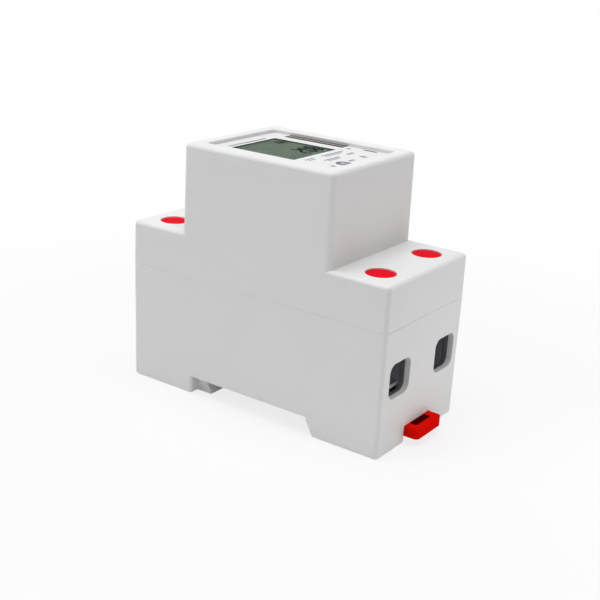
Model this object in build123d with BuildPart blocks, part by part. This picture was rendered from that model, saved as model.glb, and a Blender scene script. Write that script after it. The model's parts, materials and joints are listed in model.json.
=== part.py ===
from build123d import *
import math
import os

# Two-module energy meter for a 35 mm top hat rail, in millimetres.
# The origin is the middle of the rail seat. X runs along the casing towards the
# pull clip, Y across it along the rail, and Z up to the display.
# Heights in the values below are counted from the underside of the feet, and up()
# turns such a height into a Z of the frame.

os.makedirs("parts", exist_ok=True)

# Overall size
LENGTH = 78.0
WIDTH = 37.0
HEIGHT = 66.0

# Moulded casing
SHOULDER_LENGTH = 16.4
PARTING_HEIGHT = 31.9
WALL = 1.8
TOP_WALL = 1.8
FLOOR = 2.0
DRAFT = 0.45
CORNER_RADIUS = 1.2
BLOCK_CORNER_RADIUS = 1.8
BLOCK_EDGE_RADIUS = 1.1
SHOULDER_EDGE_RADIUS = 1.0
FOOT_EDGE_RADIUS = 0.8
SEAM_CHAMFER = 0.1

# Tongue and snap hooks of the cover
LIP_HEIGHT = 2.0
LIP_THICKNESS = 0.8
LIP_GAP = 0.1
SNAP_WIDTH = 6.0
SNAP_LENGTH = 6.4
SNAP_THICKNESS = 1.2
SNAP_BARB = 0.6
SNAP_SPACING = 24.0
SNAP_GAP = 0.15
SNAP_ROOT = 3.0

# Rail seat and fixed hook
RAIL_WIDTH = 35.0
RAIL_FLANGE = 1.0
SEAT_HEIGHT = 4.9
HOOK_SIDE_GAP = 1.0
CLIP_SIDE_GAP = 0.7
HOOK_REACH = 4.4
HOOK_INSET = 3.1
HOOK_BOTTOM = 0.3
HOOK_FLANGE_GAP = 1.6
HOOK_LEAD = 1.5
FOOT_SLANT_DROP = 0.8
FOOT_SLANT_RUN = 2.2
FOOT_ROUND = 0.9

# Pull clip, sliding under the right foot
CLIP_WIDTH = 11.8
CLIP_THICKNESS = 2.6
CLIP_BOTTOM = 2.0
CLIP_PROUD = 3.5
CLIP_RAIL_GRIP = 3.2
CLIP_TIP_THICKNESS = 1.5
CLIP_TIP_FACE = 0.6
CLIP_CORNER = 1.2
CLIP_SIDE_PLAY = 0.35
CLIP_TOP_PLAY = 0.2
CLIP_TRAVEL = 4.0
CLIP_WING = 1.5
CLIP_WING_THICKNESS = 1.3
CLIP_WING_INSET = 3.2
WING_STOP_WALL = 2.6
PULL_SLOT_WIDTH = 2.1
PULL_SLOT_LENGTH = 7.0
PULL_SLOT_INSET = 1.8
SPRING_WINDOW_OUTSET = 3.4
SPRING_WINDOW_WIDTH = 3.8
SPRING_WINDOW_INSET = 2.8
SPRING_PEG = 1.6
SPRING_PEG_GAP = 0.3
CLIP_STOP_GAP = 0.05
SPRING_WIRE = 0.4
SPRING_DIAMETER = 2.4
SPRING_TURNS = 7
SPRING_END_GAP = 0.05

# Terminals
TERMINAL_INSET = 7.4
TERMINAL_SIDE_INSET = 7.8
ENTRY_WIDTH = 9.4
ENTRY_HEIGHT = 9.0
ENTRY_RADIUS = 2.2
ENTRY_SILL = 14.3
END_WALL = 1.6
CAGE_WALL = 0.9
CAGE_LENGTH = 9.0
CAGE_TOP_PLATE = 2.4
CAGE_CORNER = 1.6
CAGE_GAP = 0.15
CAGE_SILL_DROP = 0.3
BAR_RISE = 0.6
BAR_THICKNESS = 2.0
BAR_WIDTH = 5.0
BAR_SIDE_GAP = 0.2
BAR_CAGE_GAP = 0.3
BAR_PAST_SCREW = 3.6
SHUNT_LENGTH = 12.0
SHUNT_THICKNESS = 1.5
THREAD_DIAMETER = 5.0
THREAD_GAP = 0.05
THREAD_PITCH = 0.8
SMALLEST_WIRE = 0.8
SCREW_HEAD_DIAMETER = 6.6
SCREW_HEAD_HEIGHT = 2.6
SCREW_HEAD_GAP = 0.2
SCREW_END_GAP = 0.05
SCREW_SHANK_GAP = 0.3
SCREW_SLOT_WIDTH = 1.0
SCREW_SLOT_DEPTH = 1.4
LINER_WALL = 0.6
LINER_FLOOR = 0.8
LINER_GAP = 0.1
PARTITION = 1.2
WELL_WALL = 1.3
PLUG_SCREW_GAP = 0.15
PLUG_DIAMETER = 7.4
PLUG_THICKNESS = 1.4
PLUG_GAP = 0.05
PLUG_RECESS = 0.2
PLUG_CHAMFER = 0.25
HEAD_CEILING = 1.0
CHAMBER_GAP = 0.3

# Faceplate and display
RIM_END_WIDTH = 3.6
RIM_SIDE_WIDTH = 4.3
RECESS_DEPTH = 0.9
RECESS_CORNER = 1.2
RIM_EDGE_RADIUS = 0.3
PLATE_THICKNESS = 0.8
PLATE_GAP = 0.1
WINDOW_LEFT_MARGIN = 5.0
WINDOW_RIGHT_MARGIN = 13.5
WINDOW_FRONT_MARGIN = 3.6
WINDOW_BACK_MARGIN = 6.4
WINDOW_GAP = 0.05
WINDOW_FLANGE = 0.7
WINDOW_FLANGE_THICKNESS = 0.4
LCD_BORDER = 0.9
LCD_THICKNESS = 2.0
LCD_GAP = 0.1
LCD_LEDGE = 1.8
BACKLIGHT_THICKNESS = 3.0
FRAME_WALL = 0.8
FRAME_GAP = 0.15
FRAME_SHELF = 1.6
LED_INSET = 3.2
LED_Y = -4.5
LED_DIAMETER = 2.5
LED_FLANGE = 0.45
LED_PROUD = 0.3
LED_GAP = 0.1
LED_BODY = 5.4
LED_LEAD = 0.5

# Boards and their screws
BOARD_THICKNESS = 1.6
BOARD_EDGE_GAP = 0.6
DISPLAY_BOARD_DROP = 10.4
MAIN_BOARD_RISE = 0.5
POST_DIAMETER = 3.6
DISPLAY_POST_INSET = 1.9
MAIN_POST_INSET = 2.6
MAIN_POST_Y = 4.2
PILOT_DEPTH = 6.0
BOARD_SCREW_DIAMETER = 2.0
BOARD_SCREW_HEAD = 3.4
BOARD_SCREW_HEAD_HEIGHT = 1.3
BOARD_SCREW_LENGTH = 6.4
BOARD_SCREW_GAP = 0.08
PIN = 0.64
PIN_PITCH = 2.54
PIN_COUNT = 7
PIN_INSET = 6.4
LCD_PIN = 0.4
LCD_PIN_PITCH = 1.8
LCD_PIN_COUNT = 10
STRIP_WIDTH = 2.5
STRIP_HEIGHT = 2.5
STRIP_GAP = 0.04

# Components on the boards
TAP_PIN_DIAMETER = 1.2
TAP_PIN_X = 9.0
DROPPER_SIZE = (18.0, 7.5, 8.5)
DROPPER_INSET = 3.8
DROPPER_Y = -10.2
SUPPLY_DIAMETER = 8.0
SUPPLY_HEIGHT = 8.5
SUPPLY_PIN_GAP = 1.2
SUPPLY_Y = 9.5
VARISTOR_DIAMETER = 7.0
VARISTOR_THICKNESS = 4.0
VARISTOR_INSET = 8.0
VARISTOR_Y = 10.5
METER_CHIP_SIZE = (10.3, 7.5, 2.3)
METER_CHIP_PLACE = (0.0, 0.0)
METER_LEAD_COUNT = 8
PROCESSOR_SIZE = (10.0, 10.0, 1.4)
PROCESSOR_PLACE = (-6.0, 0.0)
PROCESSOR_LEAD_COUNT = 8
CRYSTAL_SIZE = (8.0, 3.8, 2.5)
CRYSTAL_PLACE = (5.0, 0.0)
METER_LEAD_PITCH = 1.27
PROCESSOR_LEAD_PITCH = 1.0
LEAD_WIDTH = 0.4
LEAD_THICKNESS = 0.2
LEAD_FOOT = 1.0
DROPPER_EDGE = 0.6
SUPPLY_BEAD = 0.5
SUPPLY_BEAD_RISE = 2.2
BAR_EASE = 0.6
SCREW_POINT = 0.6
SCREW_HEAD_EASE = 0.3
SELECT_TOLERANCE = 0.01


def up(height):
    """Z of a height that is counted from the underside of the feet."""
    return height - SEAT_HEIGHT


def block(x, y, z, mode=Mode.ADD):
    """A straight-sided block between the two limits given for each axis."""
    with Locations((sum(x) / 2, sum(y) / 2, sum(z) / 2)):
        Box(x[1] - x[0], y[1] - y[0], z[1] - z[0], mode=mode)


def post(x, y, bottom, top, radius, mode=Mode.ADD):
    """A round post, or with Mode.SUBTRACT a round hole, along Z."""
    with Locations((x, y, (bottom + top) / 2)):
        Cylinder(radius, top - bottom, mode=mode)


def span(middle, size):
    """The two limits of a size about its middle."""
    return (middle - size / 2, middle + size / 2)


def row_of(count, pitch):
    """Places of a centred row with the given pitch."""
    return [(n - (count - 1) / 2) * pitch for n in range(count)]


# Levels of the casing
feet = up(0)
seam = up(PARTING_HEIGHT)
top = up(HEIGHT)
cavity_floor = FLOOR
lean = math.tan(math.radians(DRAFT))

# Half sizes of the inside of the casing, square to the drafted walls
inner_y = WIDTH / 2 - WALL
block_length = LENGTH - 2 * SHOULDER_LENGTH
block_inner_x = block_length / 2 - WALL

# Terminal levels and places
terminal_x = LENGTH / 2 - TERMINAL_INSET
terminal_y = WIDTH / 2 - TERMINAL_SIDE_INSET
entry_x = LENGTH / 2 - END_WALL
cage_width = ENTRY_WIDTH + 2 * CAGE_WALL
pocket_half = cage_width / 2 + CAGE_GAP
pocket_x = (terminal_x - CAGE_LENGTH / 2 - CAGE_GAP, terminal_x + CAGE_LENGTH / 2 + CAGE_GAP)
liner_x = (pocket_x[0] - LINER_FLOOR, entry_x - LINER_GAP)
liner_half = pocket_half + LINER_WALL
chamber_x = (liner_x[0] - LINER_GAP, entry_x)
chamber_half = terminal_y + liner_half + LINER_GAP
cavity_half = chamber_x[0] - PARTITION
bar_bottom = up(ENTRY_SILL + ENTRY_HEIGHT + BAR_RISE)
bar_top = bar_bottom + BAR_THICKNESS
sill_plate_top = up(ENTRY_SILL - CAGE_SILL_DROP)
cage_bottom = sill_plate_top - CAGE_WALL
cage_underside = bar_top + BAR_CAGE_GAP
cage_top = cage_underside + CAGE_TOP_PLATE
pocket_floor = cage_bottom - CHAMBER_GAP
liner_bottom = pocket_floor - LINER_FLOOR
clamp_turns = math.floor((bar_bottom - sill_plate_top - SMALLEST_WIRE) / THREAD_PITCH)
cage_travel = clamp_turns * THREAD_PITCH
well_bottom = cage_top + cage_travel + CHAMBER_GAP
head_bottom = well_bottom + HEAD_CEILING + SCREW_END_GAP
head_top = head_bottom + SCREW_HEAD_HEIGHT
plug_bottom = head_top + PLUG_SCREW_GAP
shoulder = plug_bottom + PLUG_THICKNESS + PLUG_RECESS
bar_end = terminal_x + BAR_PAST_SCREW
shunt_half = SHUNT_LENGTH / 2

# Turns by which each clamp is drawn up: only the near one at the clip end is
TERMINALS = {
    "front_left": (-1, -1, 0.0),
    "front_right": (1, -1, 2.5),
    "back_left": (-1, 1, 0.0),
    "back_right": (1, 1, 0.0),
}

# Rail channel and clip levels
channel_left = -(RAIL_WIDTH / 2 + HOOK_SIDE_GAP)
channel_right = RAIL_WIDTH / 2 + CLIP_SIDE_GAP
hook_top = -(HOOK_FLANGE_GAP)
clip_bottom = up(CLIP_BOTTOM)
clip_top = clip_bottom + CLIP_THICKNESS
clip_tip_x = RAIL_WIDTH / 2 - CLIP_RAIL_GRIP
clip_end_x = LENGTH / 2 + CLIP_PROUD
slot_top = clip_top + CLIP_TOP_PLAY
slot_half = CLIP_WIDTH / 2 + CLIP_SIDE_PLAY
wing_stop_x = LENGTH / 2 - WING_STOP_WALL
wing_x = (channel_right + CLIP_WING_INSET, wing_stop_x - CLIP_TRAVEL)
spring_window_x = (channel_right + SPRING_WINDOW_INSET, wing_stop_x - SPRING_WINDOW_OUTSET)
peg_x = (spring_window_x[1] - CLIP_STOP_GAP - SPRING_PEG, spring_window_x[1] - CLIP_STOP_GAP)
spring_z = clip_bottom + CLIP_THICKNESS / 2

# Display levels
recess_half_x = block_length / 2 - (HEIGHT - PARTING_HEIGHT) * lean - RIM_END_WIDTH
recess_half_y = WIDTH / 2 - (HEIGHT - PARTING_HEIGHT) * lean - RIM_SIDE_WIDTH
plate_top = top - RECESS_DEPTH
plate_bottom = plate_top - PLATE_THICKNESS
ceiling = plate_bottom - TOP_WALL
window_x = (WINDOW_LEFT_MARGIN - recess_half_x, recess_half_x - WINDOW_RIGHT_MARGIN)
window_y = (WINDOW_FRONT_MARGIN - recess_half_y, recess_half_y - WINDOW_BACK_MARGIN)
window_middle = (sum(window_x) / 2, sum(window_y) / 2)
window_length = window_x[1] - window_x[0]
window_width = window_y[1] - window_y[0]
lcd_length = window_length + 2 * LCD_BORDER
lcd_width = window_width + 2 * LCD_BORDER
lcd_top = plate_bottom - WINDOW_FLANGE_THICKNESS - LCD_GAP
lcd_bottom = lcd_top - LCD_THICKNESS
lcd_x = span(window_middle[0], lcd_length)
lcd_y = span(window_middle[1], lcd_width)
backlight_top = lcd_bottom - LCD_GAP
backlight_bottom = backlight_top - BACKLIGHT_THICKNESS
display_board_top = plate_top - DISPLAY_BOARD_DROP + BOARD_THICKNESS
display_board_bottom = display_board_top - BOARD_THICKNESS
frame_top = ceiling - LCD_GAP
display_post_x = block_inner_x - DISPLAY_POST_INSET
display_post_y = inner_y - DISPLAY_POST_INSET
main_post_x = block_inner_x - MAIN_POST_INSET
led_x = recess_half_x - LED_INSET
header_x = block_inner_x - PIN_INSET
main_board_bottom = seam + MAIN_BOARD_RISE
main_board_top = main_board_bottom + BOARD_THICKNESS
board_length = 2 * (block_inner_x - BOARD_EDGE_GAP)
display_board_width = 2 * (inner_y - BOARD_EDGE_GAP)
main_board_width = 2 * (inner_y - LIP_GAP - SNAP_THICKNESS - SNAP_GAP)

# Lower half of the casing: feet, rail channel, hook, clip guide and terminal pockets
with BuildPart() as base_case:
    with BuildSketch(Plane.XY.offset(seam)):
        RectangleRounded(LENGTH, WIDTH, CORNER_RADIUS)
    extrude(amount=PARTING_HEIGHT, dir=(0, 0, -1), taper=DRAFT)
    fillet(base_case.faces().sort_by(Axis.Z)[0].edges(), FOOT_EDGE_RADIUS)
    chamfer(base_case.faces().sort_by(Axis.Z)[-1].edges(), SEAM_CHAMFER)

    # Rail channel, upright at the hook and slanted out below the clip side
    with BuildSketch(Plane.XZ.offset(-WIDTH)):
        with BuildLine():
            Polyline(
                (channel_left, feet - FOOT_ROUND),
                (channel_left, 0),
                (channel_right, 0),
                (channel_right, -FOOT_SLANT_DROP),
                (channel_right + FOOT_SLANT_RUN, feet),
                (channel_right + FOOT_SLANT_RUN, feet - FOOT_ROUND),
                close=True,
            )
        make_face()
    extrude(amount=2 * WIDTH, mode=Mode.SUBTRACT)
    foot_edges = base_case.edges().filter_by(Axis.Y).group_by(Axis.Z)[0]
    near_hook = (channel_left - SELECT_TOLERANCE, channel_left + SELECT_TOLERANCE)
    fillet(foot_edges.filter_by_position(Axis.X, *near_hook), FOOT_ROUND)

    # Fixed hook with a lead-in nose
    with BuildSketch(Plane.XZ.offset(-(WIDTH / 2 - HOOK_INSET))):
        with BuildLine():
            Polyline(
                (channel_left - FOOT_ROUND, up(HOOK_BOTTOM)),
                (channel_left + HOOK_REACH, up(HOOK_BOTTOM)),
                (channel_left + HOOK_REACH, up(HOOK_BOTTOM) + HOOK_LEAD / 2),
                (channel_left + HOOK_REACH - HOOK_LEAD, hook_top),
                (channel_left - FOOT_ROUND, hook_top),
                close=True,
            )
        make_face()
    extrude(amount=WIDTH - 2 * HOOK_INSET)

    # Slot of the pull clip, its wing grooves, and the peg that the spring pushes on
    block((0, LENGTH), (-slot_half, slot_half), (feet - WALL, slot_top), mode=Mode.SUBTRACT)
    groove_half = slot_half + CLIP_WING
    groove_z = (clip_top - CLIP_WING_THICKNESS - CLIP_TOP_PLAY, slot_top)
    block((0, wing_stop_x), (-groove_half, groove_half), groove_z, mode=Mode.SUBTRACT)
    block(peg_x, span(0, SPRING_WINDOW_WIDTH - 2 * SPRING_PEG_GAP), (clip_bottom + SPRING_PEG_GAP, slot_top))

    # Room for the boards and bars, and a chamber for the terminals at each end
    block((-cavity_half, cavity_half), (-inner_y, inner_y), (cavity_floor, seam), mode=Mode.SUBTRACT)
    for side in (-1, 1):
        chamber = sorted(side * x for x in chamber_x)
        block(chamber, (-chamber_half, chamber_half), (liner_bottom, seam), mode=Mode.SUBTRACT)

    for side, row, turns in TERMINALS.values():
        # Rib beside the liner, slot for the bar, and the wire entry
        y = row * terminal_y
        chamber = sorted(side * x for x in chamber_x)
        rib_y = sorted(row * (terminal_y - liner_half - LINER_GAP - reach) for reach in (0, PARTITION))
        block(chamber, rib_y, (liner_bottom, seam))
        slot = sorted(side * x for x in (cavity_half - PARTITION, chamber_x[0] + PARTITION))
        bar_slot_y = span(y, BAR_WIDTH + 2 * BAR_SIDE_GAP)
        block(slot, bar_slot_y, (bar_bottom, seam), mode=Mode.SUBTRACT)
        with BuildSketch(Plane.YZ.offset(side * (LENGTH / 2 + WALL))):
            with Locations((y, up(ENTRY_SILL + ENTRY_HEIGHT / 2))):
                RectangleRounded(ENTRY_WIDTH, ENTRY_HEIGHT, ENTRY_RADIUS)
        extrude(amount=-side * (END_WALL + 2 * WALL), mode=Mode.SUBTRACT)

        # Foot cored out under the liner, clear of the channel, the clip slot and its grooves
        inner_x = channel_right + FOOT_SLANT_RUN + WALL
        foot_x = sorted(side * x for x in (inner_x, entry_x))
        foot_y = sorted(row * reach for reach in (slot_half + CLIP_WING + WALL, inner_y))
        block(foot_x, foot_y, (feet + FLOOR, liner_bottom), mode=Mode.SUBTRACT)

    # Posts of the main board
    for x in (-main_post_x, main_post_x):
        for y in (-MAIN_POST_Y, MAIN_POST_Y):
            post(x, y, cavity_floor, main_board_bottom, POST_DIAMETER / 2)
            pilot = BOARD_SCREW_DIAMETER / 2 + BOARD_SCREW_GAP
            post(x, y, main_board_bottom - PILOT_DEPTH, main_board_bottom, pilot, Mode.SUBTRACT)

    # Rebates for the cover's tongues, and catches for its snap hooks
    for row in (-1, 1):
        rebate_y = sorted((row * inner_y, row * (inner_y + LIP_THICKNESS + LIP_GAP)))
        block((-cavity_half, cavity_half), rebate_y, (seam - LIP_HEIGHT - LIP_GAP, seam), mode=Mode.SUBTRACT)
    for x in (-SNAP_SPACING / 2, SNAP_SPACING / 2):
        for row in (-1, 1):
            catch_y = sorted((row * inner_y, row * (inner_y + SNAP_BARB + SNAP_GAP)))
            catch_z = (seam - SNAP_LENGTH - SNAP_GAP, seam - SNAP_LENGTH + 3 * SNAP_BARB)
            block(span(x, SNAP_WIDTH + 2 * SNAP_GAP), catch_y, catch_z, mode=Mode.SUBTRACT)
base_case.part.label = "base_case"
export_step(base_case.part, "parts/base_case.step")

# Upper half of the casing: shoulders, display block, rim and screw wells
with BuildPart() as top_cover:
    with BuildSketch(Plane.XY.offset(seam)):
        RectangleRounded(LENGTH, WIDTH, CORNER_RADIUS)
    extrude(amount=shoulder - seam, taper=DRAFT)
    fillet(top_cover.faces().sort_by(Axis.Z)[-1].edges(), SHOULDER_EDGE_RADIUS)
    chamfer(top_cover.faces().sort_by(Axis.Z)[0].edges(), SEAM_CHAMFER)
    with BuildSketch(Plane.XY.offset(seam + SHOULDER_EDGE_RADIUS)):
        RectangleRounded(
            block_length - 2 * SHOULDER_EDGE_RADIUS * lean,
            WIDTH - 2 * SHOULDER_EDGE_RADIUS * lean,
            BLOCK_CORNER_RADIUS,
        )
    extrude(amount=HEIGHT - PARTING_HEIGHT - SHOULDER_EDGE_RADIUS, taper=DRAFT)
    fillet(top_cover.faces().sort_by(Axis.Z)[-1].edges(), BLOCK_EDGE_RADIUS)

    # Recess for the faceplate
    with BuildSketch(Plane.XY.offset(plate_bottom)):
        RectangleRounded(2 * recess_half_x, 2 * recess_half_y, RECESS_CORNER)
    extrude(amount=top - plate_bottom, mode=Mode.SUBTRACT)
    rim = top_cover.faces().sort_by(Axis.Z)[-1]
    fillet(rim.inner_wires().edges(), RIM_EDGE_RADIUS)

    # Inside of the display block and of the shoulders
    block((-block_inner_x, block_inner_x), (-inner_y, inner_y), (seam, ceiling), mode=Mode.SUBTRACT)
    under_shoulder = (seam, shoulder - WALL)
    block((-cavity_half, cavity_half), (-inner_y, inner_y), under_shoulder, mode=Mode.SUBTRACT)
    for side in (-1, 1):
        chamber = sorted(side * x for x in chamber_x)
        block(chamber, (-chamber_half, chamber_half), under_shoulder, mode=Mode.SUBTRACT)

    # Openings for the display glass and the pulse light
    glass_x = span(window_middle[0], lcd_length + 2 * LCD_GAP)
    glass_y = span(window_middle[1], lcd_width + 2 * LCD_GAP)
    block(glass_x, glass_y, (ceiling, plate_bottom), mode=Mode.SUBTRACT)
    led_hole = LED_DIAMETER / 2 + LED_FLANGE + LED_GAP
    post(led_x, LED_Y, ceiling, plate_bottom, led_hole, Mode.SUBTRACT)

    # Screw wells that hang into the chambers, with the plug seats above them
    for side, row, turns in TERMINALS.values():
        x = side * terminal_x
        y = row * terminal_y
        well = SCREW_HEAD_DIAMETER / 2 + SCREW_HEAD_GAP
        post(x, y, well_bottom, shoulder - WALL, well + WELL_WALL)
        post(x, y, well_bottom, head_bottom, THREAD_DIAMETER / 2 + SCREW_SHANK_GAP, Mode.SUBTRACT)
        post(x, y, well_bottom + HEAD_CEILING, shoulder, well, Mode.SUBTRACT)
        post(x, y, plug_bottom, shoulder, PLUG_DIAMETER / 2 + PLUG_GAP, Mode.SUBTRACT)

    # Posts of the display board
    for x in (-display_post_x, display_post_x):
        for y in (-display_post_y, display_post_y):
            post(x, y, display_board_top, ceiling, POST_DIAMETER / 2)
            pilot = BOARD_SCREW_DIAMETER / 2 + BOARD_SCREW_GAP
            post(x, y, display_board_top, display_board_top + PILOT_DEPTH - TOP_WALL, pilot, Mode.SUBTRACT)

    # Tongues that enter the base's rebates, and the snap hooks inside them
    for row in (-1, 1):
        lip_y = sorted((row * inner_y, row * (inner_y + LIP_THICKNESS)))
        lip_x = (LIP_GAP - cavity_half, cavity_half - LIP_GAP)
        block(lip_x, lip_y, (seam - LIP_HEIGHT, seam))
        outer = inner_y - LIP_GAP
        inner = outer - SNAP_THICKNESS
        for x in (-SNAP_SPACING / 2, SNAP_SPACING / 2):
            with BuildSketch(Plane.YZ.offset(x - SNAP_WIDTH / 2)):
                with BuildLine():
                    Polyline(
                        (row * inner, seam + SNAP_ROOT),
                        (row * inner_y, seam + SNAP_ROOT),
                        (row * inner_y, seam),
                        (row * outer, seam - SEAM_CHAMFER),
                        (row * outer, seam - SNAP_LENGTH + 2 * SNAP_BARB),
                        (row * (outer + SNAP_BARB), seam - SNAP_LENGTH + 2 * SNAP_BARB),
                        (row * outer, seam - SNAP_LENGTH),
                        (row * inner, seam - SNAP_LENGTH),
                        close=True,
                    )
                make_face()
            extrude(amount=SNAP_WIDTH)
top_cover.part.label = "top_cover"
export_step(top_cover.part, "parts/top_cover.step")

# Printed faceplate with its display and pulse light openings
with BuildPart() as faceplate:
    with BuildSketch(Plane.XY.offset(plate_bottom)):
        RectangleRounded(2 * (recess_half_x - PLATE_GAP), 2 * (recess_half_y - PLATE_GAP), RECESS_CORNER)
        with Locations(window_middle):
            Rectangle(window_length, window_width, mode=Mode.SUBTRACT)
        with Locations((led_x, LED_Y)):
            Circle(LED_DIAMETER / 2 + LED_GAP, mode=Mode.SUBTRACT)
    extrude(amount=PLATE_THICKNESS)
faceplate.part.label = "faceplate"
export_step(faceplate.part, "parts/faceplate.step")

# Clear window with a flange that the faceplate holds down
with BuildPart() as display_window:
    with BuildSketch(Plane.XY.offset(plate_bottom - WINDOW_FLANGE_THICKNESS)):
        with Locations(window_middle):
            Rectangle(window_length + 2 * WINDOW_FLANGE, window_width + 2 * WINDOW_FLANGE)
    extrude(amount=WINDOW_FLANGE_THICKNESS)
    with BuildSketch(Plane.XY.offset(plate_bottom)):
        with Locations(window_middle):
            Rectangle(window_length - 2 * WINDOW_GAP, window_width - 2 * WINDOW_GAP)
    extrude(amount=PLATE_THICKNESS)
display_window.part.label = "display_window"
export_step(display_window.part, "parts/display_window.step")

# Display glass: two bonded plies, the lower one longer by its contact ledge
with BuildPart() as lcd_panel:
    block(lcd_x, lcd_y, (lcd_bottom, lcd_top - LCD_THICKNESS / 2))
    block((lcd_x[0], lcd_x[1] - LCD_LEDGE), lcd_y, (lcd_top - LCD_THICKNESS / 2, lcd_top))
lcd_panel.part.label = "lcd_panel"
export_step(lcd_panel.part, "parts/lcd_panel.step")

# Light guide behind the glass, thinner towards its far end
with BuildPart() as backlight:
    with BuildSketch(Plane.XZ.offset(-lcd_y[1])):
        with BuildLine():
            Polyline(
                (lcd_x[0], backlight_top - BACKLIGHT_THICKNESS / 2),
                (lcd_x[1] - LCD_LEDGE, backlight_bottom),
                (lcd_x[1] - LCD_LEDGE, backlight_top),
                (lcd_x[0], backlight_top),
                close=True,
            )
        make_face()
    extrude(amount=lcd_width)
backlight.part.label = "backlight"
export_step(backlight.part, "parts/backlight.step")

# Moulded frame that holds the glass and the light guide on the display board
with BuildPart() as lcd_frame:
    frame_inner_x = lcd_length + 2 * FRAME_GAP
    frame_inner_y = lcd_width + 2 * FRAME_GAP
    with BuildSketch(Plane.XY.offset(display_board_top)):
        with Locations(window_middle):
            Rectangle(frame_inner_x + 2 * FRAME_WALL, frame_inner_y + 2 * FRAME_WALL)
            Rectangle(frame_inner_x, frame_inner_y, mode=Mode.SUBTRACT)
    extrude(amount=frame_top - display_board_top)
    with BuildSketch(Plane.XY.offset(display_board_top)):
        with Locations(window_middle):
            Rectangle(frame_inner_x, frame_inner_y)
            Rectangle(frame_inner_x - 2 * FRAME_SHELF, frame_inner_y - 2 * FRAME_SHELF, mode=Mode.SUBTRACT)
    extrude(amount=backlight_bottom - display_board_top)
    pin_gap_x = (lcd_x[1] - LCD_LEDGE, lcd_x[1] + FRAME_GAP)
    pin_gap_y = span(window_middle[1], LCD_PIN_PITCH * LCD_PIN_COUNT)
    block(pin_gap_x, pin_gap_y, (display_board_top, backlight_bottom), mode=Mode.SUBTRACT)
lcd_frame.part.label = "lcd_frame"
export_step(lcd_frame.part, "parts/lcd_frame.step")

# Board under the display, and the main board at the seam, each with screw holes
with BuildPart() as display_board:
    with BuildSketch(Plane.XY.offset(display_board_bottom)):
        Rectangle(board_length, display_board_width)
        for x in (-display_post_x, display_post_x):
            for y in (-display_post_y, display_post_y):
                with Locations((x, y)):
                    Circle(BOARD_SCREW_DIAMETER / 2 + BOARD_SCREW_GAP, mode=Mode.SUBTRACT)
    extrude(amount=BOARD_THICKNESS)
display_board.part.label = "display_board"
export_step(display_board.part, "parts/display_board.step")

with BuildPart() as main_board:
    with BuildSketch(Plane.XY.offset(main_board_bottom)):
        Rectangle(board_length, main_board_width)
        for x in (-main_post_x, main_post_x):
            for y in (-MAIN_POST_Y, MAIN_POST_Y):
                with Locations((x, y)):
                    Circle(BOARD_SCREW_DIAMETER / 2 + BOARD_SCREW_GAP, mode=Mode.SUBTRACT)
    extrude(amount=BOARD_THICKNESS)
main_board.part.label = "main_board"
export_step(main_board.part, "parts/main_board.step")

# Pan head screws: four up into the cover's posts, four down into the base's
with BuildPart() as board_screws:
    head = BOARD_SCREW_HEAD / 2
    shank = BOARD_SCREW_DIAMETER / 2
    for x in (-display_post_x, display_post_x):
        for y in (-display_post_y, display_post_y):
            face = display_board_bottom
            post(x, y, face - BOARD_SCREW_HEAD_HEIGHT, face, head)
            post(x, y, face, face + BOARD_SCREW_LENGTH - TOP_WALL, shank)
    for x in (-main_post_x, main_post_x):
        for y in (-MAIN_POST_Y, MAIN_POST_Y):
            face = main_board_top
            post(x, y, face, face + BOARD_SCREW_HEAD_HEIGHT, head)
            post(x, y, face - BOARD_SCREW_LENGTH, face, shank)
board_screws.part.label = "board_screws"
export_step(board_screws.part, "parts/board_screws.step")

# Pins that join the two boards, and the two strips that space them
pin_places = [(header_x, y) for y in row_of(PIN_COUNT, PIN_PITCH)]
with BuildPart() as link_pins:
    with BuildSketch(Plane.XY.offset(main_board_top)):
        with Locations(*pin_places):
            Rectangle(PIN, PIN)
    extrude(amount=display_board_bottom - main_board_top)
link_pins.part.label = "link_pins"
export_step(link_pins.part, "parts/link_pins.step")

with BuildPart() as link_strips:
    for bottom in (main_board_top, display_board_bottom - STRIP_HEIGHT):
        with BuildSketch(Plane.XY.offset(bottom)):
            with Locations((header_x, 0)):
                Rectangle(STRIP_WIDTH, PIN_COUNT * PIN_PITCH)
            with Locations(*pin_places):
                Rectangle(PIN + 2 * STRIP_GAP, PIN + 2 * STRIP_GAP, mode=Mode.SUBTRACT)
        extrude(amount=STRIP_HEIGHT)
link_strips.part.label = "link_strips"
export_step(link_strips.part, "parts/link_strips.step")

# Contact pins from the display board up to the ledge of the glass
with BuildPart() as lcd_pins:
    pin_x = lcd_x[1] - LCD_LEDGE / 2
    with BuildSketch(Plane.XY.offset(display_board_top)):
        with Locations(*[(pin_x, window_middle[1] + y) for y in row_of(LCD_PIN_COUNT, LCD_PIN_PITCH)]):
            Rectangle(LCD_PIN, LCD_PIN)
    extrude(amount=lcd_bottom - display_board_top)
lcd_pins.part.label = "lcd_pins"
export_step(lcd_pins.part, "parts/lcd_pins.step")

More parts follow.
